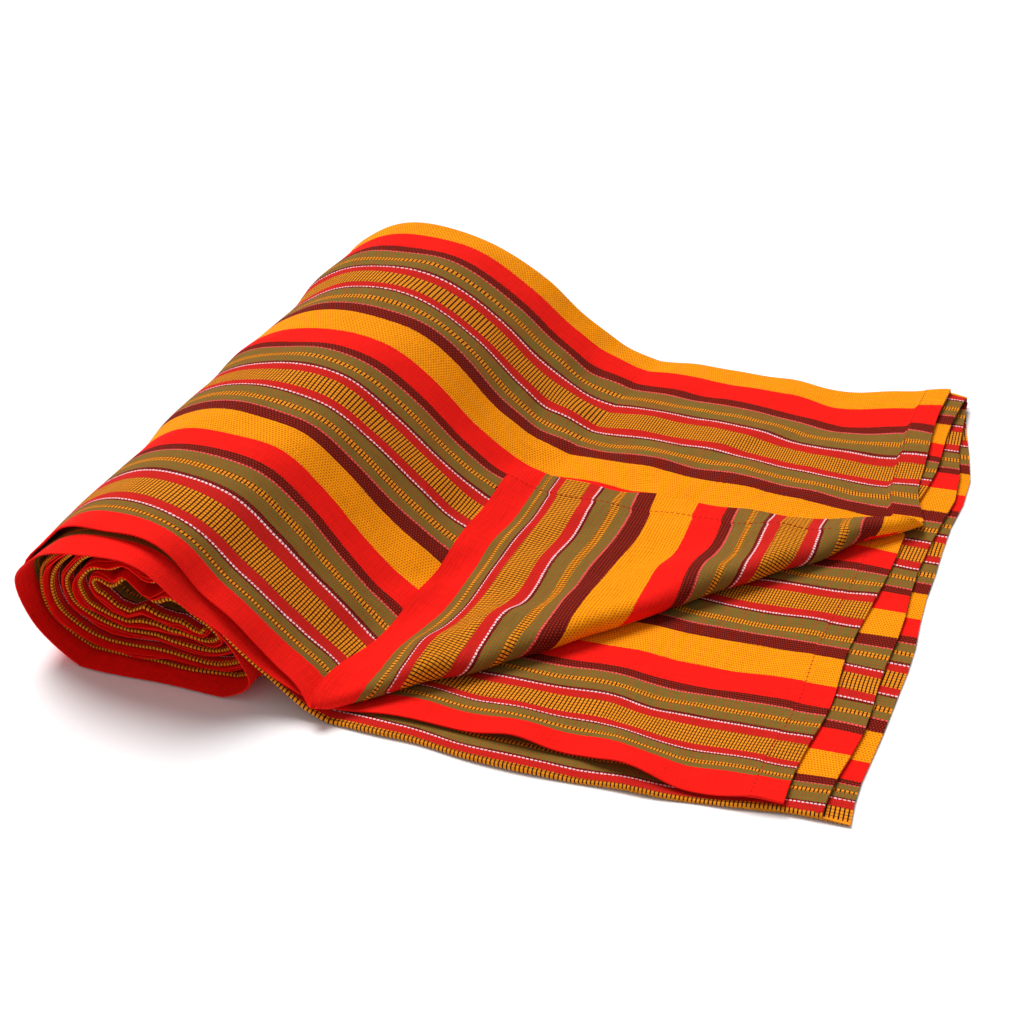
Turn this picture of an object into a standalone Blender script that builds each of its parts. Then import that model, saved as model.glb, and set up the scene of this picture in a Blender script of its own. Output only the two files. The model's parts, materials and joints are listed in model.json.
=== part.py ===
"""A striped cotton shawl blanket, folded lengthwise in four and rolled up from one end.

One length of cloth makes the whole thing. It is folded in half and in half again along its
length, so that a cross-section shows four plies and three folds. The long band that this makes
is rolled up from its left end into a loose, flattened roll, and its right end lies flat. There
the front corner of the top ply is turned back over the cloth as a triangle.

The script cuts the cloth flat, gives it its thickness, and then folds it with one function.
Metres, +Z up, +X along the band towards its flat end, -Y towards the front. The origin is at the
middle of the underside.
"""

import math

import bmesh
import bpy
from mathutils import Vector

# Driving sizes
CLOTH_THICKNESS = 0.0010
BAND_FRONT = -0.194           # foremost line of the band, at the fold of the two lower plies
BAND_BACK = 0.194             # rearmost line of the band, at the outer back fold
TOP_SELVAGE_SETBACK = 0.010   # the top ply's selvage lies this far behind the front fold
SECOND_SELVAGE_SETBACK = 0.004
TAIL_PLY_PITCH = 0.0019       # from ply to ply where the band lies flat
ROLL_PLY_PITCH = 0.0013       # from ply to ply where the band is wound
TURNS_TO_CORE = 4.9           # turns that would fill the roll to its core line
CORE_CLEARANCE = 0.0006       # from the innermost turn to the core line
PLIES = 4
INNER_FOLD_SETBACK = 0.0015   # the inner back fold keeps clear of the outer one

# Height of the outer face, and its place along the band at the front and at the back edge.
# The first rows climb from the flat end on to the roll, from right to left.
CLIMB_ROWS = (
    # name, height, x at the front, x at the back
    ("flat end", None, 0.000, 0.000),
    ("flat middle", None, -0.130, -0.105),
    ("foot of the slope", None, -0.254, -0.200),
    ("low slope", 0.0135, -0.270, -0.222),
    ("middle slope", 0.0310, -0.293, -0.250),
    ("high slope", 0.0560, -0.317, -0.278),
)
# The next rows go once round the roll, over its top, down its left side and back below it.
# The last three lie under the slope, where each turn steps inwards to make room for the next.
ROLL_ROWS = (
    # name, height, x at the front, x at the back, share of the step inwards
    ("shoulder", 0.0790, -0.338, -0.318, 0.00),
    ("top", 0.0850, -0.362, -0.356, 0.00),
    ("top left", 0.0770, -0.399, -0.396, 0.00),
    ("left", 0.0520, -0.427, -0.427, 0.00),
    ("lower left", 0.0190, -0.425, -0.426, 0.00),
    ("bottom left", 0.0000, -0.400, -0.400, 0.00),
    ("bottom", 0.0000, -0.355, -0.345, 0.00),
    ("bottom right", 0.0000, -0.314, -0.292, 0.05),
    ("right lobe", 0.0110, -0.295, -0.268, 0.20),
    ("right side", 0.0330, -0.299, -0.266, 0.70),
    ("under the slope", 0.0580, -0.321, -0.290, 1.00),
)
TURNS = 4
LAST_TURN_ROWS = 4            # the cloth ends after these rows of one more turn
# The turns shrink towards a short line inside the roll.
CORE_LEFT = (-0.388, 0.044)
CORE_RIGHT_FRONT = (-0.342, 0.036)
CORE_RIGHT_BACK = (-0.320, 0.035)
STEPS_PER_ROW = 2

# How far the plies' hems stop short of the longest one, at the front and at the back
HEM_SETBACKS = {"top": (0.017, 0.013), "second": (0.024, 0.006), "third": (0.012, 0.002),
                "bottom": (0.0, 0.0)}

# The turned-back corner of the top ply
FLAP_START_X = -0.250         # where the crease leaves the selvage
FLAP_BEND_RADIUS = 0.0026
FLAP_BEND_STEPS = 4
FLAP_TIP_CLEARANCE = 0.0016   # from the top ply to the turned-back tip

RED = (0.78, 0.03, 0.02, 1.0)


def clear_scene():
    """Remove whatever the file holds."""
    for old in list(bpy.data.objects):
        bpy.data.objects.remove(old, do_unlink=True)


def stack_height(pitch):
    """Height of the four plies together."""
    return CLOTH_THICKNESS + (PLIES - 1) * pitch


def nearest_on_core(point, core_right):
    """Nearest point of the core line to a point of the section."""
    left = Vector(CORE_LEFT)
    line = Vector(core_right) - left
    share = max(0.0, min(1.0, (point - left).dot(line) / line.length_squared))
    return left + line * share


def section_points(side):
    """Control points of the band's outer face in the section at the front or the back edge."""
    column = 2 if side == "front" else 3
    core_right = CORE_RIGHT_FRONT if side == "front" else CORE_RIGHT_BACK
    flat_height = stack_height(TAIL_PLY_PITCH)
    points = []
    for row in CLIMB_ROWS:
        height = flat_height if row[1] is None else row[1]
        points.append(Vector((row[column], height)))
    for turn in range(TURNS + 1):
        rows = ROLL_ROWS if turn < TURNS else ROLL_ROWS[:LAST_TURN_ROWS]
        for row in rows:
            outline = Vector((row[column], row[1]))
            inwards = nearest_on_core(outline, core_right) - outline
            room = inwards.length - stack_height(ROLL_PLY_PITCH) - CORE_CLEARANCE
            inset = room * (turn + row[4]) / TURNS_TO_CORE
            points.append(outline + inwards.normalized() * inset)
    return points


def smooth_through(points, steps):
    """Points of a smooth curve through the given ones."""
    smooth = []
    for index in range(len(points) - 1):
        before = points[max(index - 1, 0)]
        start, end = points[index], points[index + 1]
        after = points[min(index + 2, len(points) - 1)]
        for step in range(steps):
            t = step / steps
            lead = (end - before) * 0.5
            trail = (after - start) * 0.5
            smooth.append(start * (2 * t ** 3 - 3 * t ** 2 + 1) + lead * (t ** 3 - 2 * t ** 2 + t)
                          + end * (3 * t ** 2 - 2 * t ** 3) + trail * (t ** 3 - t ** 2))
    smooth.append(points[-1])
    return smooth


def outward_normals(points):
    """Unit normals of a section curve, on the side that faces out of the roll."""
    normals = []
    for index in range(len(points)):
        along = points[min(index + 1, len(points) - 1)] - points[max(index - 1, 0)]
        normals.append(Vector((along.y, -along.x)).normalized())
    return normals


def band_stations():
    """Stations along the band: outer point and normal at the front and back, and ply pitch."""
    flat_height = stack_height(TAIL_PLY_PITCH)
    sides = []
    for side in ("front", "back"):
        points = smooth_through(section_points(side), STEPS_PER_ROW)
        flat_steps = STEPS_PER_ROW * 2 + 1
        for index, point in enumerate(points):
            point.y = flat_height if index < flat_steps else max(point.y, 0.0)
        normals = outward_normals(points)
        for index in range(flat_steps - 1):
            normals[index] = Vector((0.0, 1.0))
        sides.append(list(zip(points, normals)))
    stations = []
    climb_steps = STEPS_PER_ROW * len(CLIMB_ROWS)
    flat_steps = STEPS_PER_ROW * 2
    for index, (front, back) in enumerate(zip(*sides)):
        share = (index - flat_steps) / (climb_steps - flat_steps)
        share = max(0.0, min(1.0, share))
        pitch = TAIL_PLY_PITCH + (ROLL_PLY_PITCH - TAIL_PLY_PITCH) * share
        stations.append((front, back, pitch))
    return stations


def ply_section(pitch):
    """Cross-section of the folded band, from the top ply's selvage to the second ply's.

    Each row is: across the band, depth of the cloth's middle below the outer face, the
    direction of the cloth's outer side in that section, its ply, and the share of the way back.
    """
    half = CLOTH_THICKNESS / 2
    depth = [half + ply * pitch for ply in range(PLIES)]
    outer_radius = (depth[3] - depth[0]) / 2
    small_radius = pitch / 2
    back_line = BAND_BACK - half - outer_radius
    front_line = BAND_FRONT + half + small_radius
    inner_line = back_line - INNER_FOLD_SETBACK
    rows = [(BAND_FRONT + TOP_SELVAGE_SETBACK, depth[0], (0.0, -1.0), "top", 0.0)]
    rows += fold_rows(back_line, depth[0], depth[3], 1.0, 5, ("top", "bottom"), 1.0, True)
    rows += fold_rows(front_line, depth[3], depth[2], -1.0, 3, ("bottom", "third"), 0.0, True)
    rows += fold_rows(inner_line, depth[2], depth[1], 1.0, 3, ("third", "second"), 1.0, False)
    rows.append((BAND_FRONT + SECOND_SELVAGE_SETBACK, depth[1], (0.0, 1.0), "second", 0.0))
    return rows


def fold_rows(line, start_depth, end_depth, bulge, steps, plies, share, outer_side_out):
    """Rows of one half-round fold whose centre lies on a line across the band."""
    centre = (start_depth + end_depth) / 2
    radius = abs(end_depth - start_depth) / 2
    turn = 1.0 if end_depth > start_depth else -1.0
    rows = []
    for step in range(steps + 1):
        angle = math.pi * step / steps
        out = (bulge * math.sin(angle), -turn * math.cos(angle))
        side = 1.0 if outer_side_out else -1.0
        ply = plies[0] if step <= steps / 2 else plies[1]
        rows.append((line + radius * out[0], centre + radius * out[1],
                     (side * out[0], side * out[1]), ply, share))
    return rows


def cut_flat_cloth(stations, section):
    """Lay out the cloth flat as a mesh of stations along it and columns across it.

    Vertices sit at (station, column, 0). The quads of neighbouring plies are split along the
    same direction of the finished band, so that the plies stay parallel where the band twists.
    """
    cloth = bmesh.new()
    columns = len(section)
    grid = [[cloth.verts.new((i, j, 0.0)) for j in range(columns)] for i in range(stations)]
    for i in range(stations - 1):
        for j in range(columns - 1):
            a, b, c, d = grid[i][j], grid[i + 1][j], grid[i + 1][j + 1], grid[i][j + 1]
            if section[j + 1][0] > section[j][0]:
                cloth.faces.new((a, b, c))
                cloth.faces.new((a, c, d))
            else:
                cloth.faces.new((a, b, d))
                cloth.faces.new((b, c, d))
    return cloth


def hem_setback(ply, share):
    """How far a ply's hem stops short of the end, at a share of the way from front to back."""
    front, back = HEM_SETBACKS[ply]
    return front + (back - front) * share


def slope_rise(x, y, stations):
    """Height of the band's outer face above its flat part, at a place near the slope's foot."""
    share = (y - BAND_FRONT) / (BAND_BACK - BAND_FRONT)
    flat_height = stack_height(TAIL_PLY_PITCH)
    previous = None
    for front, back, _ in stations[:STEPS_PER_ROW * len(CLIMB_ROWS)]:
        point = front[0].lerp(back[0], share)
        if previous is not None and point.x <= x <= previous.x:
            t = (x - point.x) / max(previous.x - point.x, 1e-9)
            return point.y + (previous.y - point.y) * t - flat_height
        previous = point
    return 0.0


def crease_distance(x, y):
    """Signed distance of a flat place from the crease, positive on the corner's side."""
    start_y = BAND_FRONT + TOP_SELVAGE_SETBACK
    return ((x - FLAP_START_X) - (y - start_y)) / math.sqrt(2)


def fold_corner(x, y, level, side, stations):
    """Place a point of the top ply's corner, turned back about the crease.

    level is the height of the cloth's middle, and side how far the point lies above it.
    """
    distance = crease_distance(x, y)
    if distance <= 0:
        return Vector((x, y, level + side))
    outwards = Vector((1.0, -1.0, 0.0)).normalized()
    foot = Vector((x, y, 0.0)) - outwards * distance
    bend = math.pi * FLAP_BEND_RADIUS
    if distance < bend:
        angle = distance / FLAP_BEND_RADIUS
        radius = FLAP_BEND_RADIUS - side
        reach = radius * math.sin(angle)
        height = level + FLAP_BEND_RADIUS - radius * math.cos(angle)
        return foot + outwards * reach + Vector((0.0, 0.0, height))
    corner_y = BAND_FRONT + TOP_SELVAGE_SETBACK
    corner = crease_distance(-HEM_SETBACKS["top"][0], corner_y)
    share = (distance - bend) / (corner - bend)
    tip_level = CLOTH_THICKNESS + FLAP_TIP_CLEARANCE
    lift = 2 * FLAP_BEND_RADIUS + (tip_level - 2 * FLAP_BEND_RADIUS) * share
    place = foot - outwards * (distance - bend)
    height = level + lift - side + slope_rise(place.x, place.y, stations)
    return Vector((place.x, place.y, height))


def place_vertex(flat, stations, sections):
    """Fold one vertex of the flat cloth into its place in the finished blanket."""
    index = min(int(flat.x), len(stations) - 2)
    blend = flat.x - index
    column = min(int(flat.y), len(sections[0]) - 2)
    across = flat.y - column
    spots = []
    for station in (index, index + 1):
        front, back, _ = stations[station]
        ends = []
        for row in (sections[station][column], sections[station][column + 1]):
            y, depth, out, ply, share = row
            way = (y - BAND_FRONT) / (BAND_BACK - BAND_FRONT)
            point = front[0].lerp(back[0], way)
            normal = front[1].lerp(back[1], way).normalized()
            depth = depth + out[1] * flat.z
            spot = point - normal * depth
            setback = hem_setback(ply, share) * max(0.0, 1.0 - station / (2 * STEPS_PER_ROW))
            ends.append(Vector((spot.x - setback, y + out[0] * flat.z, spot.y)))
        spots.append(ends[0].lerp(ends[1], across))
    return spots[0].lerp(spots[1], blend)


def crease_line_cuts(cloth, stations, sections):
    """Cut the top ply's flat part along the crease and along the lines of its bend."""
    flat_limit = 2 * STEPS_PER_ROW
    top_ply = [f for f in cloth.faces
               if max(v.co.y for v in f.verts) <= 1 and max(v.co.x for v in f.verts) <= flat_limit]
    placed = {v: v.co.copy() for f in top_ply for v in f.verts}
    for vert in placed:
        vert.co = place_vertex(vert.co, stations, sections)
    bend = math.pi * FLAP_BEND_RADIUS
    outwards = Vector((1.0, -1.0, 0.0)).normalized()
    start = Vector((FLAP_START_X, BAND_FRONT + TOP_SELVAGE_SETBACK, 0.0))
    region = set(top_ply)
    for step in range(FLAP_BEND_STEPS + 1):
        plane = start + outwards * (bend * step / FLAP_BEND_STEPS)
        geometry = list(region) + list({e for f in region for e in f.edges})
        geometry += list({v for f in region for v in f.verts})
        cut = bmesh.ops.bisect_plane(cloth, geom=geometry, dist=1e-7, plane_co=plane,
                                     plane_no=outwards)
        region = {g for g in cut["geom"] if isinstance(g, bmesh.types.BMFace)}
    return placed, region


def build_blanket():
    """Cut, crease, thicken and fold the cloth, and make its object."""
    stations = band_stations()
    sections = [ply_section(pitch) for _, _, pitch in stations]
    cloth = cut_flat_cloth(len(stations), sections[0])
    flat_places, corner_faces = crease_line_cuts(cloth, stations, sections)
    corner_verts = {v for f in corner_faces for v in f.verts}
    level = stack_height(TAIL_PLY_PITCH) - CLOTH_THICKNESS / 2
    half = CLOTH_THICKNESS / 2
    faces = list(cloth.faces)
    skins = {}
    for vert in cloth.verts:
        for side in (half, -half):
            if vert in corner_verts:
                spot = fold_corner(vert.co.x, vert.co.y, level, side, stations)
            else:
                spot = place_vertex(Vector((vert.co.x, vert.co.y, side)), stations, sections)
            skins[(vert, side)] = spot
    blanket = bmesh.new()
    shell = {key: blanket.verts.new(spot) for key, spot in skins.items()}
    for face in faces:
        ring = list(face.verts)
        blanket.faces.new([shell[(v, half)] for v in ring])
        blanket.faces.new([shell[(v, -half)] for v in reversed(ring)])
    for edge in cloth.edges:
        if len(edge.link_faces) == 1:
            first, second = edge.verts
            blanket.faces.new((shell[(first, half)], shell[(second, half)],
                               shell[(second, -half)], shell[(first, -half)]))
    bmesh.ops.recalc_face_normals(blanket, faces=blanket.faces)
    bmesh.ops.triangulate(blanket, faces=[f for f in blanket.faces if len(f.verts) > 3])
    centre_blanket(blanket)
    mesh = bpy.data.meshes.new("blanket")
    blanket.to_mesh(mesh)
    blanket.free()
    cloth.free()
    thing = bpy.data.objects.new("blanket", mesh)
    bpy.context.collection.objects.link(thing)
    return thing


def centre_blanket(blanket):
    """Move the blanket so that the origin is at the middle of its underside."""
    xs = [v.co.x for v in blanket.verts]
    ys = [v.co.y for v in blanket.verts]
    zs = [v.co.z for v in blanket.verts]
    middle = Vector(((min(xs) + max(xs)) / 2, (min(ys) + max(ys)) / 2, min(zs)))
    bmesh.ops.translate(blanket, vec=-middle, verts=blanket.verts)


def woven_cotton(thing):
    """Give the blanket a plain red cotton material."""
    material = bpy.data.materials.new("woven_cotton")
    material.use_nodes = True
    shader = material.node_tree.nodes["Principled BSDF"]
    shader.inputs["Base Color"].default_value = RED
    shader.inputs["Roughness"].default_value = 0.9
    shader.inputs["Metallic"].default_value = 0.0
    thing.data.materials.append(material)


def main():
    clear_scene()
    blanket = build_blanket()
    woven_cotton(blanket)
    blanket.data.shade_smooth()
    blanket.data.set_sharp_from_angle(angle=math.radians(40))


main()
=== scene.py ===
"""A striped cotton shawl blanket, folded lengthwise in four and rolled up from one end.

The cloth is worked out as one sheet. A grid of places, along the cloth and across it, is folded
into four plies, wound into a loose roll and turned back at one corner. Then it is wrinkled, given
its thickness and covered with a woven material. Metres, +Z up, in the frame of the blanket.
"""

from __future__ import annotations

import json
import logging
import math
from dataclasses import dataclass, field, fields
from enum import Enum, IntEnum

import bpy
import numpy as np
from mathutils import Matrix, Vector

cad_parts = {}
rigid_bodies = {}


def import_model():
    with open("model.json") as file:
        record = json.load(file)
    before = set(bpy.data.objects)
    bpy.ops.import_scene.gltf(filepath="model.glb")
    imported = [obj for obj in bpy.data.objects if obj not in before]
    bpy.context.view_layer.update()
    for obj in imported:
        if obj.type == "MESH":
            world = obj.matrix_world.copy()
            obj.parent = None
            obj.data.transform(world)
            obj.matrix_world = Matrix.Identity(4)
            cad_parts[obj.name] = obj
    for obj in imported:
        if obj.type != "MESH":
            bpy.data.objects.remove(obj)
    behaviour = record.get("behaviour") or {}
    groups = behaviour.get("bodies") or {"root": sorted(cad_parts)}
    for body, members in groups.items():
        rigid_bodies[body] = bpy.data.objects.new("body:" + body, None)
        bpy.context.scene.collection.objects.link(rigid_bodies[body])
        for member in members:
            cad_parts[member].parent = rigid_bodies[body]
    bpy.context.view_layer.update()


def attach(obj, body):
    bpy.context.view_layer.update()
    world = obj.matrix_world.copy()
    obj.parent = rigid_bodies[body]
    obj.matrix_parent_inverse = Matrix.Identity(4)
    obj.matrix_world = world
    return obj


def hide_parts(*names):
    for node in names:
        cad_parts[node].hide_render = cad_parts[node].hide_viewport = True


LOG = logging.getLogger("blanket_scene")
Socket = bpy.types.NodeSocket

MM = 0.001

# Where the flat end's right edge lies in the blanket's frame
FLAT_END_X = 0.2151


class Ply(IntEnum):
    """The four plies of the folded band, from its outer face inwards."""

    TOP = 0
    SECOND = 1
    THIRD = 2
    BOTTOM = 3


class Look(Enum):
    """How the threads of a stripe are woven."""

    PLAIN = "plain"
    CHECK = "check"
    DOTTED = "dotted"


@dataclass(frozen=True)
class Yarn:
    """One dyed yarn.

    Args:
        code: Its colour as a six-digit sRGB hex number.
    """

    code: int

    def linear(self) -> tuple[float, float, float, float]:
        """Return the yarn's colour as linear RGBA.

        Returns:
            Four floats, with an alpha of one.
        """
        parts = ((self.code >> 16) & 255, (self.code >> 8) & 255, self.code & 255)
        values = []
        for part in parts:
            share = part / 255
            values.append(share / 12.92 if share <= 0.04045 else ((share + 0.055) / 1.055) ** 2.4)
        return (values[0], values[1], values[2], 1.0)


RED = Yarn(0xEE1A12)
YELLOW = Yarn(0xFA9A08)
MAROON = Yarn(0x5A1210)
CRIMSON = Yarn(0xC81C1C)
OLIVE = Yarn(0x73662B)
ORANGE = Yarn(0xEE921E)
BLACK = Yarn(0x3A0C06)
WHITE = Yarn(0xF6D4DA)
PINK = Yarn(0xE0605C)
RUST = Yarn(0xB03010)


@dataclass(frozen=True)
class Stripe:
    """One stripe of the repeat.

    Args:
        yarn: Main yarn of the stripe.
        width: Width in millimetres.
        look: Way in which it is woven.
    """

    yarn: Yarn
    width: float
    look: Look = Look.PLAIN


# One repeat, from the start of an olive and orange group to the start of the next one
REPEAT = (
    Stripe(OLIVE, 5.5),
    Stripe(ORANGE, 4.4, Look.CHECK),
    Stripe(OLIVE, 8.6),
    Stripe(MAROON, 1.4),
    Stripe(WHITE, 1.2, Look.DOTTED),
    Stripe(CRIMSON, 5.7),
    Stripe(ORANGE, 14.4, Look.CHECK),
    Stripe(CRIMSON, 6.5),
    Stripe(WHITE, 1.2, Look.DOTTED),
    Stripe(MAROON, 1.6),
    Stripe(OLIVE, 6.6),
    Stripe(ORANGE, 3.4, Look.CHECK),
    Stripe(OLIVE, 7.2),
    Stripe(PINK, 1.1, Look.DOTTED),
    Stripe(MAROON, 6.2),
    Stripe(RED, 16.8),
    Stripe(YELLOW, 23.6),
    Stripe(MAROON, 10.0),
    Stripe(PINK, 1.1, Look.DOTTED),
)
REPEAT_WIDTH = sum(stripe.width for stripe in REPEAT) * MM
# Middle of the wide orange check, from the start of the repeat
CHECK_MIDDLE = (sum(stripe.width for stripe in REPEAT[:6]) + REPEAT[6].width / 2) * MM
SELVAGE_WIDTH = 0.0155


@dataclass(frozen=True)
class CurveRow:
    """One control row of the band's outer face.

    Args:
        name: Plain name of the place.
        height: Height of the outer face, or None on the flat end.
        front: Place along the band at the front edge.
        back: Place along the band at the back edge.
        steps: Grid steps from this row to the next one.
        step_in: Share of the step inwards that each turn makes.
    """

    name: str
    height: float | None
    front: float
    back: float
    steps: int
    step_in: float = 0.0


CLIMB_ROWS = (
    CurveRow("flat end", None, 0.000, 0.000, 46),
    CurveRow("flat middle", None, -0.130, -0.105, 38),
    CurveRow("foot of the slope", None, -0.254, -0.200, 6),
    CurveRow("low slope", 0.0135, -0.270, -0.222, 8),
    CurveRow("middle slope", 0.0310, -0.293, -0.250, 8),
    CurveRow("high slope", 0.0560, -0.317, -0.278, 8),
)
ROLL_ROWS = (
    CurveRow("shoulder", 0.0790, -0.338, -0.318, 7),
    CurveRow("top", 0.0850, -0.362, -0.356, 8),
    CurveRow("top left", 0.0770, -0.399, -0.396, 7),
    CurveRow("left", 0.0520, -0.427, -0.427, 6),
    CurveRow("lower left", 0.0190, -0.425, -0.426, 5),
    CurveRow("bottom left", 0.0000, -0.400, -0.400, 5),
    CurveRow("bottom", 0.0000, -0.355, -0.345, 5),
    CurveRow("bottom right", 0.0000, -0.314, -0.292, 5, 0.05),
    CurveRow("right lobe", 0.0110, -0.295, -0.268, 5, 0.20),
    CurveRow("right side", 0.0330, -0.299, -0.266, 5, 0.70),
    CurveRow("under the slope", 0.0580, -0.321, -0.290, 5, 1.00),
)


@dataclass(frozen=True)
class BandShape:
    """Sizes of the folded band and its roll.

    Args:
        front: Foremost line of the band.
        back: Rearmost line of the band.
        thickness: Thickness of the cloth.
        hem_thickness: Thickness of the turned hem allowance.
        hem_width: Width of the hem allowance.
        flat_height: Height of the outer face on the flat end.
        flat_pitch: From ply to ply on the flat end.
        roll_pitch: From ply to ply in the roll.
        turns: Full turns of the roll.
        last_rows: Control rows of the last, part turn.
        turns_to_core: Turns that would fill the roll to its core line.
        core_gap: From the innermost turn to the core line.
        core_left: The core line's left end, along the band and up.
        core_right_front: Its right end at the front edge.
        core_right_back: Its right end at the back edge.
    """

    front: float = -0.194
    back: float = 0.194
    thickness: float = 0.00075
    hem_thickness: float = 0.0014
    hem_width: float = 0.022
    flat_height: float = 0.0067
    flat_pitch: float = 0.0019
    roll_pitch: float = 0.00118
    turns: int = 4
    last_rows: int = 9
    turns_to_core: float = 4.5
    core_gap: float = 0.0006
    core_left: tuple[float, float] = (-0.390, 0.037)
    core_right_front: tuple[float, float] = (-0.337, 0.028)
    core_right_back: tuple[float, float] = (-0.318, 0.032)


@dataclass(frozen=True)
class CornerShape:
    """The turned-back corner of the top ply.

    Args:
        start_x: Place along the band where the crease leaves the selvage.
        start_y: Place across the band where the crease leaves the selvage.
        angle: Angle from the band's length to the crease, in degrees.
        bend_radius: Radius of the bend at its widest.
        end_radius: Radius of the bend at the crease's two ends.
        settle: Distance in which the turned-back cloth comes down on the ply below it.
        tip_gap: From the top ply to the turned-back cloth, where it has come down.
    """

    start_x: float = -0.270
    start_y: float = -0.2035
    angle: float = 43.4
    bend_radius: float = 0.0064
    end_radius: float = 0.0022
    settle: float = 0.050
    tip_gap: float = 0.0014


class Ripples:
    """A smooth random surface made of a few fixed waves.

    Args:
        seed: Fixed seed of the waves.
        length: Middle wavelength in metres.
        size: Usual height of the surface.
    """

    COUNT = 7
    LENGTHS = (0.6, 1.7)
    WEIGHTS = (0.5, 1.0)
    WEIGHT_SUM = 0.6

    def __init__(self, seed: int, length: float, size: float = 1.0) -> None:
        rng = np.random.default_rng(seed)
        angle = rng.uniform(0, 2 * math.pi, self.COUNT)
        waves = 2 * math.pi / (length * rng.uniform(*self.LENGTHS, self.COUNT))
        self.first = waves * np.cos(angle)
        self.second = waves * np.sin(angle)
        self.phase = rng.uniform(0, 2 * math.pi, self.COUNT)
        self.weight = rng.uniform(*self.WEIGHTS, self.COUNT)
        self.weight /= self.weight.sum() * self.WEIGHT_SUM
        self.size = size

    def __call__(self, first: np.ndarray, second: np.ndarray) -> np.ndarray:
        """Return the surface's height, mostly within its size above and below zero.

        Args:
            first: Places along the first axis.
            second: Places along the second axis.

        Returns:
            Heights in the shape of the two inputs.
        """
        total = np.zeros(np.broadcast(first, second).shape)
        for a, b, phase, weight in zip(self.first, self.second, self.phase, self.weight):
            total += weight * np.sin(a * first + b * second + phase)
        return self.size * total


@dataclass(frozen=True)
class Step:
    """A smooth step with its place and its size.

    Args:
        start: Value at which it starts.
        end: Value at which it is complete.
        size: Height past its end.
    """

    start: float
    end: float
    size: float = 1.0

    def __call__(self, value: np.ndarray) -> np.ndarray:
        """Return the step's height at some values.

        Args:
            value: Values to step.

        Returns:
            Heights from zero to the size.
        """
        share = np.clip((value - self.start) / (self.end - self.start), 0.0, 1.0)
        return self.size * (share * share * (3 - 2 * share))


@dataclass(frozen=True)
class Bump:
    """A bell with its place and its size.

    Args:
        middle: Middle of the bell.
        reach: Distance at which it has almost gone.
        size: Height at its middle.
    """

    middle: float
    reach: float
    size: float = 1.0

    def __call__(self, value: np.ndarray) -> np.ndarray:
        """Return the bell's height at some values.

        Args:
            value: Values to weigh.

        Returns:
            Heights from zero to the size.
        """
        return self.size * np.exp(-4.0 * ((value - self.middle) / self.reach) ** 2)


def placed(name: str, data: bpy.types.ID) -> bpy.types.Object:
    """Make an object and link it to the scene.

    Args:
        name: Name of the object.
        data: Its mesh, light or camera.

    Returns:
        The object.
    """
    thing = bpy.data.objects.new(name, data)
    bpy.context.collection.objects.link(thing)
    return thing


def matt_material(name: str, colour: Yarn | None, roughness: float,
                  specular: float) -> bpy.types.Material:
    """Make a matt material.

    Args:
        name: Name of the material.
        colour: Its colour, or None where nodes give it.
        roughness: Its roughness.
        specular: Its specular level.

    Returns:
        The material.
    """
    material = bpy.data.materials.new(name)
    material.use_nodes = True
    shader = material.node_tree.nodes["Principled BSDF"]
    if colour is not None:
        shader.inputs["Base Color"].default_value = colour.linear()
    shader.inputs["Roughness"].default_value = roughness
    shader.inputs["Specular IOR Level"].default_value = specular
    return material


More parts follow.
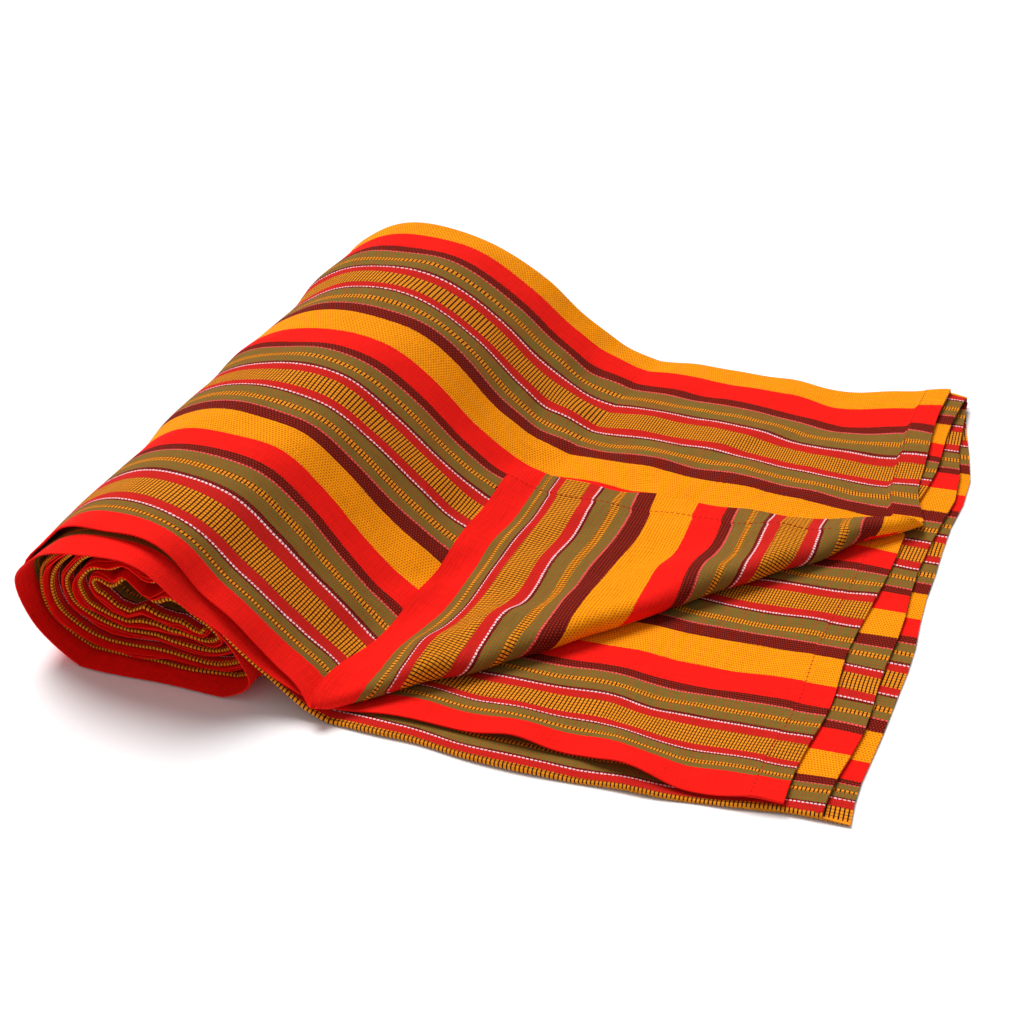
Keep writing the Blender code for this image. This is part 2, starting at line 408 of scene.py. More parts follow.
class BandCurve:
    """The band's outer face, as one curve at its front edge and one at its back edge.

    Args:
        shape: Sizes of the band.
    """

    PITCH_LEAD = 4

    def __init__(self, shape: BandShape) -> None:
        self.shape = shape
        self.rows = self._rows()
        sides = [self._smooth(self._controls(side)) for side in ("front", "back")]
        self.front, self.back = sides
        self.climb_steps = sum(row.steps for row in CLIMB_ROWS)
        self.flat_steps = sum(row.steps for row in CLIMB_ROWS[:2])
        for side in sides:
            side[:self.flat_steps + 1, 1] = shape.flat_height
            side[:, 1] = np.maximum(side[:, 1], 0.0)
        self.front_normals = self._normals(self.front)
        self.back_normals = self._normals(self.back)
        self.count = len(self.front)
        slope = Step(self.flat_steps - self.PITCH_LEAD, self.climb_steps)
        blend = slope(np.arange(self.count))
        self.pitch = shape.flat_pitch + (shape.roll_pitch - shape.flat_pitch) * blend
        steps = np.linalg.norm(np.diff(self.front, axis=0), axis=1)
        self.along = np.concatenate(([0.0], np.cumsum(steps)))

    def _rows(self) -> list[tuple[CurveRow, int]]:
        """Return every control row with its turn, or -1 before the roll.

        Returns:
            Rows in order from the flat end inwards.
        """
        rows = [(row, -1) for row in CLIMB_ROWS]
        for turn in range(self.shape.turns + 1):
            part = ROLL_ROWS if turn < self.shape.turns else ROLL_ROWS[:self.shape.last_rows]
            rows += [(row, turn) for row in part]
        return rows

    def _controls(self, side: str) -> np.ndarray:
        """Return the control points of one side.

        Args:
            side: Either front or back.

        Returns:
            One (x, z) pair for each control row.
        """
        shape = self.shape
        left = np.array(shape.core_left)
        right = np.array(shape.core_right_front if side == "front" else shape.core_right_back)
        stack = shape.thickness + 3 * shape.roll_pitch
        points = []
        for row, turn in self.rows:
            place = row.front if side == "front" else row.back
            height = shape.flat_height if row.height is None else row.height
            point = np.array((place, height))
            if turn >= 0:
                line = right - left
                share = np.clip(np.dot(point - left, line) / np.dot(line, line), 0.0, 1.0)
                inwards = left + line * share - point
                distance = np.linalg.norm(inwards)
                room = distance - stack - shape.core_gap
                inset = room * (turn + row.step_in) / shape.turns_to_core
                point = point + inwards / distance * inset
            points.append(point)
        return np.array(points)

    def _smooth(self, points: np.ndarray) -> np.ndarray:
        """Return a smooth curve through control points.

        Args:
            points: Control points, one for each row.

        Returns:
            Points at every grid step.
        """
        rows = self.rows
        smooth = []
        gaps = np.diff(points, axis=0)
        lengths = np.linalg.norm(gaps, axis=1)[:, None]
        slopes = gaps / lengths
        inner = (slopes[:-1] * lengths[1:] + slopes[1:] * lengths[:-1]) / (
            lengths[:-1] + lengths[1:])
        tangents = np.concatenate((slopes[:1], inner, slopes[-1:]))
        for index in range(len(points) - 1):
            start, end = points[index], points[index + 1]
            steps = rows[index][0].steps
            t = (np.arange(steps) / steps)[:, None]
            lead = tangents[index] * lengths[index]
            trail = tangents[index + 1] * lengths[index]
            smooth.append(start * (2 * t ** 3 - 3 * t ** 2 + 1) + lead * (t ** 3 - 2 * t ** 2 + t)
                          + end * (3 * t ** 2 - 2 * t ** 3) + trail * (t ** 3 - t ** 2))
        smooth.append(points[-1:])
        return np.concatenate(smooth)

    @staticmethod
    def _normals(points: np.ndarray) -> np.ndarray:
        """Return unit normals that face out of the roll.

        Args:
            points: Points of a section curve.

        Returns:
            One normal for each point.
        """
        along = np.gradient(points, axis=0)
        normals = np.stack((along[:, 1], -along[:, 0]), axis=1)
        return normals / np.linalg.norm(normals, axis=1)[:, None]

    def rise(self, x: np.ndarray, share: np.ndarray) -> np.ndarray:
        """Return how far the outer face stands above its flat part.

        Args:
            x: Places along the band.
            share: Places across it, from zero at the front to one at the back.

        Returns:
            Heights above the flat part.
        """
        climb = slice(0, self.climb_steps)
        heights = np.zeros_like(x)
        for index, (place, way) in enumerate(zip(x, share)):
            xs = self.front[climb, 0] * (1 - way) + self.back[climb, 0] * way
            zs = self.front[climb, 1] * (1 - way) + self.back[climb, 1] * way
            heights[index] = np.interp(-place, -xs, zs) - self.shape.flat_height
        return heights


@dataclass(frozen=True)
class Column:
    """One column of the grid across the cloth.

    Args:
        y: Place across the band where the ply pitch is zero.
        y_per_pitch: Change of that place with the ply pitch.
        depth_per_pitch: Depth below the outer face, as a count of ply pitches.
        ply: Ply of the cloth from this column to the next one.
        distance: Distance across the cloth from the ply's front end.
        before: The same in the measure of the ply that ends at this column.
        coarse: Whether the coarse part of the grid uses this column.
    """

    y: float
    y_per_pitch: float
    depth_per_pitch: float
    ply: Ply
    distance: float
    before: float
    coarse: bool


class PlyPath:
    """The way of the cloth across the folded band, from one selvage to the other.

    It runs along the top ply, round the outer back fold, along the bottom ply, round the front
    fold, along the third ply, round the inner back fold and along the second ply.

    Args:
        shape: Sizes of the band.
    """

    INNER_FOLD_SETBACK = 0.0015
    TOP_SETBACK = 0.010
    SECOND_SETBACK = 0.004
    ARC_PER_RADIUS = 0.0020
    FINE_FRONT = 0.012
    EVEN_SHARE = 0.62
    BACK_INSET = 1.5
    FRONT_INSET = 0.5
    # Change of each run's place with the ply pitch, at its start and at its end
    RUN_INSETS = {Ply.TOP: (0.0, -BACK_INSET), Ply.BOTTOM: (-BACK_INSET, FRONT_INSET),
                  Ply.THIRD: (FRONT_INSET, -BACK_INSET), Ply.SECOND: (-BACK_INSET, 0.0)}

    def __init__(self, shape: BandShape) -> None:
        half = shape.thickness / 2
        front_line = shape.front + half
        back_line = shape.back - half
        self.columns: list[Column] = []
        top_front = shape.front + self.TOP_SETBACK
        second_front = shape.front + self.SECOND_SETBACK
        inner_back = back_line - self.INNER_FOLD_SETBACK
        edge = self.ARC_PER_RADIUS / 2
        whole = back_line - front_line + edge
        outer_ends = (back_line - top_front, whole)
        inner_ends = (whole - self.INNER_FOLD_SETBACK, inner_back - second_front)
        self._run(Ply.TOP, top_front, back_line, depth=0, count=112, keep=4)
        self._fold(Ply.TOP, Ply.BOTTOM, back_line, middle=1.5, radius=1.5, bulge=1.0,
                   turn=-1.0, ends=outer_ends, steps=8)
        self._run(Ply.BOTTOM, back_line, front_line, depth=3, count=18, keep=3)
        self._fold(Ply.BOTTOM, Ply.THIRD, front_line, middle=2.5, radius=0.5, bulge=-1.0,
                   turn=1.0, ends=(edge, edge), steps=6)
        self._run(Ply.THIRD, front_line, inner_back, depth=2, count=18, keep=3)
        self._fold(Ply.THIRD, Ply.SECOND, inner_back, middle=1.5, radius=0.5, bulge=1.0,
                   turn=1.0, ends=inner_ends, steps=4)
        self._run(Ply.SECOND, inner_back, second_front, depth=1, count=34, keep=4, last=True)

    def _spread(self, start: float, end: float, count: int) -> np.ndarray:
        """Return places that stand closer together at the front of the band.

        Args:
            start: First place.
            end: Last place.
            count: Number of steps between them.

        Returns:
            The places from start to end.
        """
        t = np.linspace(0.0, 1.0, count + 1)
        from_front = t if start < end else 1 - t
        pack = self.EVEN_SHARE * from_front + (1 - self.EVEN_SHARE) * from_front ** 2
        return start + (end - start) * (pack if start < end else 1 - pack)

    def _run(self, ply: Ply, start: float, end: float, depth: int, count: int, keep: int,
             last: bool = False) -> None:
        """Add the columns of one ply, without the last one unless it ends the path.

        Args:
            ply: The ply.
            start: First place across the band.
            end: Last place across the band.
            depth: Depth as a count of ply pitches.
            count: Number of steps.
            keep: Every how many columns the coarse grid keeps one.
            last: Whether the path ends here.
        """
        places = self._spread(start, end, count)
        inset_start, inset_end = self.RUN_INSETS[ply]
        front = min(start, end)
        fold_arc = self.ARC_PER_RADIUS / 2 if ply in (Ply.BOTTOM, Ply.THIRD) else 0.0
        for index, place in enumerate(places if last else places[:-1]):
            share = (place - start) / (end - start)
            near = abs(place - front) < self.FINE_FRONT
            coarse = index % keep == 0 or near or (last and index == count)
            shift = inset_start + (inset_end - inset_start) * share
            far = float(abs(place - front)) + fold_arc
            self.columns.append(Column(float(place), shift, float(depth), ply, far, far, coarse))

    def _fold(self, ply: Ply, next_ply: Ply, line: float, middle: float, radius: float,
              bulge: float, turn: float, ends: tuple[float, float], steps: int) -> None:
        """Add the columns of one fold.

        Args:
            ply: Ply before the fold.
            next_ply: Ply after the fold.
            line: Outermost line of the fold.
            middle: Depth of the fold's middle, as a count of ply pitches.
            radius: Radius of the fold, as a count of ply pitches.
            bulge: One at the back of the band and minus one at its front.
            turn: Minus one where the depth grows through the fold, or one.
            ends: Distances across the cloth at the two ends of the fold.
            steps: Number of steps.
        """
        arc = self.ARC_PER_RADIUS * radius
        inset = self.BACK_INSET if bulge > 0 else self.FRONT_INSET
        for step in range(steps):
            angle = math.pi * step / steps
            across = bulge * (radius * math.sin(angle) - inset)
            depth = middle + turn * radius * math.cos(angle)
            share = 2 * step / steps
            first = ends[0] + bulge * arc * share
            second = ends[1] + bulge * arc * (2 - share)
            far = first if share < 1 else second
            before = first if share <= 1 else second
            name = ply if share < 1 else next_ply
            self.columns.append(Column(line, across, depth, name, far, before, True))

    def arrays(self) -> dict[str, np.ndarray]:
        """Return the columns' values as arrays.

        Returns:
            One array for each value of a column, by its name.
        """
        return {part.name: np.array([getattr(column, part.name) for column in self.columns])
                for part in fields(Column)}


@dataclass(frozen=True)
class EdgeRow:
    """How far the plies' front edges lie behind the front line at one control row.

    Args:
        row: Number of the control row, counted from the flat end.
        top: Setback of the top ply's selvage in millimetres.
        second: Setback of the second ply's selvage in millimetres.
        fold: Setback of the front fold in millimetres.
        top_lift: How far the top ply's selvage stands off, in millimetres.
        second_lift: How far the second ply's selvage stands off, in millimetres.
        sag: How far the folded plies hang below the two above them, in millimetres.
    """

    row: float
    top: float
    second: float
    fold: float
    top_lift: float
    second_lift: float
    sag: float = 0.0


EDGE_ROWS = (
    EdgeRow(0.0, -9, 0, 0, 0.0, 0.6),
    EdgeRow(0.2, -9, 1, 0, 0.0, 2.2),
    EdgeRow(0.5, -9, 4, 0, 0.0, 0.5),
    EdgeRow(0.8, -9, 9, 0, 0.0, 4.0),
    EdgeRow(1.0, -9, 14, 0, 0.0, 4.4),
    EdgeRow(1.5, -9, 13, 0, 0.0, 0.5),
    EdgeRow(2.0, -9, 7, 0, 0.6, 0.4),
    EdgeRow(3.0, 2, 3, 1, 2.0, 0.8),
    EdgeRow(4.0, 7, 0, 3, 5.0, 1.5),
    EdgeRow(5.0, 6, -4, 6, 7.5, 3.0, 1.0),
    EdgeRow(6.0, 3, -9, 9, 8.0, 3.5, 3.5),
    EdgeRow(7.0, 8, -12, 12, 7.0, 3.0, 5.0),
    EdgeRow(8.0, 8, -9, 14, 7.5, 3.5, 5.0),
    EdgeRow(9.0, 14, 3, 16, 2.5, 1.5, 2.5),
    EdgeRow(10.0, 17, 4, 16, 0.5, 0.0),
    EdgeRow(12.0, 18, 0, 14, 0.0, 0.0),
    EdgeRow(15.0, 18, 3, 15, 0.0, 0.0),
    EdgeRow(17.0, 13, 9, 17, 0.5, 0.0, 2.0),
    EdgeRow(22.0, 15, 13, 17, 0.0, 0.0),
    EdgeRow(28.0, 20, 19, 20, 0.0, 0.0),
    EdgeRow(59.0, 22, 21, 22, 0.0, 0.0),
)

# How far each ply's hem stops short of the end, at the front and at the back
HEM_SETBACKS = {Ply.TOP: (0.017, 0.013), Ply.SECOND: (0.031, 0.002), Ply.THIRD: (0.012, 0.003),
                Ply.BOTTOM: (0.0, 0.0)}


@dataclass(frozen=True)
class FrontPart:
    """How the front part of one ply wanders across the band.

    Args:
        ply: The ply.
        edge: Name of its setback in the edge rows.
        setback: Setback that its path has already.
        ripples: Its waves along the cloth.
        calm: Share of the waves that it keeps on the flat end.
    """

    ply: Ply
    edge: str
    setback: float
    ripples: Ripples
    calm: float


FRONT_PARTS = (
    FrontPart(Ply.TOP, "top", PlyPath.TOP_SETBACK, Ripples(11, 0.05, 0.0034), 0.15),
    FrontPart(Ply.SECOND, "second", PlyPath.SECOND_SETBACK, Ripples(12, 0.05, 0.0018), 0.5),
    FrontPart(Ply.THIRD, "fold", 0.0, Ripples(13, 0.05, 0.0016), 0.5),
    FrontPart(Ply.BOTTOM, "fold", 0.0, Ripples(13, 0.05, 0.0016), 0.5),
)


class FoldedCloth:
    """The middle surface of the cloth in its finished place, as a grid of points.

    Args:
        shape: Sizes of the band.
        corner: The turned-back corner.
    """

    # Hems, by the distance or the share of the way from the band's front
    BAND_WIDTH = 0.388
    HEM_RIPPLES = Ripples(23, 0.07, 0.0020)
    RIPPLES_PER_PLY = 0.7
    TOP_TIP = Bump(0.232, 0.05, 0.008)
    LOW_TIP = Bump(0.295, 0.10, 0.008)
    BELLY_START = Step(0.05, 0.25, 0.006)
    BELLY_END = Step(0.70, 0.95)

    # Selvages: stations by which the waves lead and lag behind the slope, and the lift
    WAVES_LEAD = 6
    WAVES_LAG = 8
    FRONT_REACH = 0.12
    EDGE_SMOOTHING = 5
    LIFT_MEAN = 0.75
    LIFT_RIPPLES = Ripples(21, 0.055, 0.5)
    LIFT_LIMITS = (0.1, 1.4)
    LIFT_REACH = 0.024
    LIFT_POWER = 1.3

    # The turned-back corner: stations past the flat end, and how its bend opens and closes
    CORNER_PAST = 10
    BEND_OPENS = Step(0.0, 0.22)
    BEND_CLOSES = Step(0.55, 1.0, 0.45)

    # Wrinkles of the whole blanket
    ROLL = Step(0.215, 0.33)
    OFF_FLOOR = Step(0.004, 0.04)
    SOFT_WAVES = Ripples(31, 0.085, 0.0022)
    FINE_WAVES = Ripples(32, 0.035, 0.0006)

    # Loose plies of the flat end, as shares of their height
    LOOSE_WAVES = Ripples(33, 0.06, 0.20)
    LOOSE_FINE_WAVES = Ripples(34, 0.03, 0.10)
    NEAR_HEM = Step(-0.040, -0.010, 0.20)
    TO_HEM = Step(-0.075, 0.0, 0.75)
    BEFORE_HEM = Bump(-0.095, 0.05, 0.25)
    BACK_CORNER = Step(0.05, 0.18)
    FRONT_EDGE = Bump(-0.19, 0.05, 0.55)
    FRONT_MEAN = 0.5
    FRONT_WAVES = Ripples(36, 0.05, 0.5)
    LOOSE_HEIGHT = 0.03
    LOOSE_FADE = Step(0.0, 0.02)

    # The roll's far side, and the creases of its core
    SIDE_WAVES = Ripples(35, 0.06, 0.0018)
    SIDE = Step(0.36, 0.43)
    CORE_ALONG = Bump(-0.366, 0.056)
    CORE_UP = Bump(0.040, 0.034)
    CREASE_HEIGHT = 0.0052
    CREASE_LENGTH = 0.024
    CREASE_DEPTH = 0.0030
    CREASE_DEPTH_LENGTH = 0.021
    CREASE_LEAN = 0.25
    CREASE_SWAY = 2.0
    SWAY_WAVES = 31
    DEPTH_START = 1.3
    DEPTH_TWIST = 17

    # Long curves of the back and the front edge
    BACK_NOTCH = Bump(-0.075, 0.06, 0.007)
    BACK_HALF = Step(0.06, 0.19)
    FRONT_HALF = Step(-0.10, 0.194)
    FRONT_BULGE = Step(0.01, 0.09, 0.0075)
    MIDDLE_BULGE = Bump(-0.150, 0.10, 0.0045)

    def __init__(self, shape: BandShape, corner: CornerShape) -> None:
        self.shape = shape
        self.corner = corner
        self.curve = BandCurve(shape)
        self.columns = PlyPath(shape).arrays()
        self.past_crease = np.full((self.curve.count, len(self.columns["y"])), -1.0)
        self.points = self._place()
        self._turn_corner()
        self._wrinkle()
        self.points[..., 0] += FLAT_END_X
        self.thickness = self._thickness()

    def _of(self, *plies: Ply) -> np.ndarray:
        """Return which columns belong to some plies.

        Args:
            *plies: The plies.

        Returns:
            One row of truth values.
        """
        return np.isin(self.columns["ply"], plies)[None, :]

    def _place(self) -> np.ndarray:
        """Fold the band and wind its roll.

        Returns:
            Points in the order of stations and columns.
        """
        shape, curve, cols = self.shape, self.curve, self.columns
        pitch = curve.pitch[:, None]
        y = cols["y"][None, :] + cols["y_per_pitch"][None, :] * pitch
        y = y + self._selvage_waves()
        depth = shape.thickness / 2 + cols["depth_per_pitch"][None, :] * pitch
        depth = depth - self._selvage_lift()
        way = ((y - shape.front) / (shape.back - shape.front))[..., None]
        outer = curve.front[:, None] * (1 - way) + curve.back[:, None] * way
        normal = curve.front_normals[:, None] * (1 - way) + curve.back_normals[:, None] * way
        normal = normal / np.linalg.norm(normal, axis=2)[..., None]
        spot = outer - normal * depth[..., None]
        x = spot[..., 0] - self._hem_setbacks(way[..., 0])
        return np.stack((x, y, spot[..., 1]), axis=2)

    def _hem_setbacks(self, way: np.ndarray) -> np.ndarray:
        """Return how far each point is set back along the band by its ply's hem.

        Args:
            way: Share of the way from the front to the back.

        Returns:
            Distances along the band.
        """
        stations = np.arange(self.curve.count)
        fade = 1 - np.clip(stations / CLIMB_ROWS[0].steps, 0.0, 1.0)
        plies = self.columns["ply"]
        front, back = np.array([HEM_SETBACKS[ply] for ply in Ply])[plies].T
        across = way * self.BAND_WIDTH
        uneven = self.HEM_RIPPLES(across, plies[None, :] * self.RIPPLES_PER_PLY)
        tip = self.TOP_TIP(across) * self._of(Ply.TOP)
        belly = self.LOW_TIP(across) + self.BELLY_START(way) * (1 - self.BELLY_END(way))
        belly = belly * self._of(Ply.THIRD, Ply.BOTTOM)
        setback = front[None, :] + (back - front)[None, :] * np.clip(way, 0, 1)
        return (setback + uneven - tip - belly) * fade[:, None]

    def _selvage_waves(self) -> np.ndarray:
        """Return how far the front parts of the plies wander across the band.

        Returns:
            Distances across, in the order of stations and columns.
        """
        curve, distance = self.curve, self.columns["distance"][None, :]
        along = curve.along[:, None]
        slope = Step(curve.flat_steps - self.WAVES_LEAD, curve.climb_steps + self.WAVES_LAG)
        roll = slope(np.arange(curve.count))[:, None]
        waves = np.zeros((curve.count, distance.shape[1]))
        near = np.exp(-distance / self.FRONT_REACH)
        for part in FRONT_PARTS:
            ripple = part.ripples(along, np.zeros_like(along))
            size = part.calm + (1 - part.calm) * roll
            shift = near * (self._edge_values(part.edge) - part.setback + ripple * size)
            waves += np.where(self._of(part.ply), shift, 0.0)
        return waves

    def _edge_values(self, name: str) -> np.ndarray:
        """Return one of the edge rows' values at every station.

        Args:
            name: Name of the value.

        Returns:
            One column of values in metres.
        """
        rows = [row for row, _ in self.curve.rows]
        stations = np.concatenate(([0], np.cumsum([row.steps for row in rows[:-1]])))
        numbers = np.interp(np.arange(self.curve.count), stations, np.arange(len(rows)))
        knots = [edge.row for edge in EDGE_ROWS]
        values = [getattr(edge, name) * MM for edge in EDGE_ROWS]
        smooth = np.interp(numbers, knots, values)
        kernel = np.hanning(2 * self.EDGE_SMOOTHING + 1)
        padded = np.pad(smooth, self.EDGE_SMOOTHING, mode="edge")
        return np.convolve(padded, kernel / kernel.sum(), mode="valid")[:, None]

    def _selvage_lift(self) -> np.ndarray:
        """Return how far the selvages stand off the plies below them.

        Returns:
            Distances outwards, in the order of stations and columns.
        """
        along = self.curve.along[:, None]
        ripple = self.LIFT_MEAN + self.LIFT_RIPPLES(along, np.zeros_like(along))
        ripple = np.clip(ripple, *self.LIFT_LIMITS)
        distance = self.columns["distance"][None, :]
        fade = np.exp(-(distance / self.LIFT_REACH) ** self.LIFT_POWER)
        top = self._edge_values("top_lift") * ripple * fade
        second = self._edge_values("second_lift") * ripple * fade
        sag = self._edge_values("sag") * fade
        lift = np.where(self._of(Ply.TOP), top, 0.0)
        lift = lift - np.where(self._of(Ply.THIRD, Ply.BOTTOM), sag, 0.0)
        return lift + np.where(self._of(Ply.SECOND), second, 0.0)

    def _turn_corner(self) -> None:
        """Turn the top ply's front corner back about its crease."""
        shape, corner = self.shape, self.corner
        stations = np.arange(self.curve.count)[:, None]
        top = self._of(Ply.TOP) & (stations <= self.curve.flat_steps + self.CORNER_PAST)
        angle = math.radians(corner.angle)
        crease = np.array((math.cos(angle), math.sin(angle)))
        outwards = np.array((math.sin(angle), -math.cos(angle)))
        x, y, z = (self.points[..., axis] for axis in range(3))
        from_start = np.stack((x - corner.start_x, y - corner.start_y), axis=2)
        distance = from_start @ outwards
        length_along = from_start @ crease
        self.past_crease = np.where(top, distance, -1.0)
        mask = top & (distance > 0)
        share = np.clip(length_along[mask] * crease[0] / -corner.start_x, 0.0, 1.0)
        radius = corner.end_radius + (corner.bend_radius - corner.end_radius) * (
            self.BEND_OPENS(share) * (1 - self.BEND_CLOSES(share)))
        far = distance[mask]
        foot = np.stack((x[mask], y[mask]), axis=1) - far[:, None] * outwards
        level = z[mask]
        turn = np.minimum(far / radius, math.pi)
        rest = np.maximum(far - math.pi * radius, 0.0)
        reach = radius * np.sin(turn) - rest
        place = foot + reach[:, None] * outwards
        settle = Step(0.0, corner.settle)(rest)
        gap = shape.thickness + corner.tip_gap
        lift = np.where(rest > 0, 2 * radius + (gap - 2 * radius) * settle,
                        radius * (1 - np.cos(turn)))
        way = (place[:, 1] - shape.front) / (shape.back - shape.front)
        flat = shape.flat_height - shape.thickness / 2
        base = np.where(rest > 0, flat + self.curve.rise(place[:, 0], way), level)
        self.points[mask] = np.column_stack((place, base + lift))

    def _wrinkle(self) -> None:
        """Wrinkle the whole blanket, without letting its plies run through one another.

        Each step moves every point by an amount that depends on its place alone, so plies that
        lie apart stay apart.
        """
        x, y, z = (self.points[..., axis].copy() for axis in range(3))
        moved_x, moved_y, moved_z = (self.points[..., axis] for axis in range(3))
        moved_z += self.OFF_FLOOR(z) * (self.SOFT_WAVES(x, y) + self.FINE_WAVES(x, y))

        stretch = self.LOOSE_WAVES(x, y) + self.LOOSE_FINE_WAVES(x, y)
        stretch += self.NEAR_HEM(x)
        stretch += self.TO_HEM(x) * self.BACK_CORNER(y)
        stretch -= self.BEFORE_HEM(x) * self.BACK_CORNER(y)
        stretch += self.FRONT_EDGE(y) * (self.FRONT_MEAN + self.FRONT_WAVES(x, 0 * x))
        low = self.LOOSE_FADE(self.LOOSE_HEIGHT - z)
        moved_z += z * (1 - self.ROLL(-x)) * stretch * low

        moved_x += self.SIDE_WAVES(y, z) * self.SIDE(-x)
        core = self.CORE_ALONG(x) * self.CORE_UP(z)
        turn = 2 * math.pi
        sway = self.CREASE_SWAY * np.sin(y * self.SWAY_WAVES)
        fold = np.sin((x + self.CREASE_LEAN * z) * turn / self.CREASE_LENGTH + sway)
        moved_z += self.CREASE_HEIGHT * core * fold
        twist = self.DEPTH_START + y * self.DEPTH_TWIST
        fold = np.sin(z * turn / self.CREASE_DEPTH_LENGTH + twist)
        moved_x += self.CREASE_DEPTH * core * fold

        moved_y -= self.BACK_NOTCH(x) * self.BACK_HALF(y)
        moved_y -= (self.FRONT_BULGE(-x) + self.MIDDLE_BULGE(x)) * self.FRONT_HALF(-y)

    def _thickness(self) -> np.ndarray:
        """Return the thickness of the cloth at every point.

        Returns:
            Thicknesses, in the order of stations and columns.
        """
        shape = self.shape
        hem = 1 - Step(shape.hem_width - MM, shape.hem_width + MM)(self.curve.along)
        value = shape.thickness + (shape.hem_thickness - shape.thickness) * hem
        return np.repeat(value[:, None], self.points.shape[1], axis=1)

    def normals(self) -> np.ndarray:
        """Return unit normals of the middle surface, on the top ply's outer side.

        Returns:
            Normals, in the order of stations and columns.
        """
        along = np.gradient(self.points, axis=0)
        across = np.gradient(self.points, axis=1)
        normal = np.cross(across, along)
        size = np.linalg.norm(normal, axis=2)
        return normal / np.maximum(size, 1e-12)[..., None]


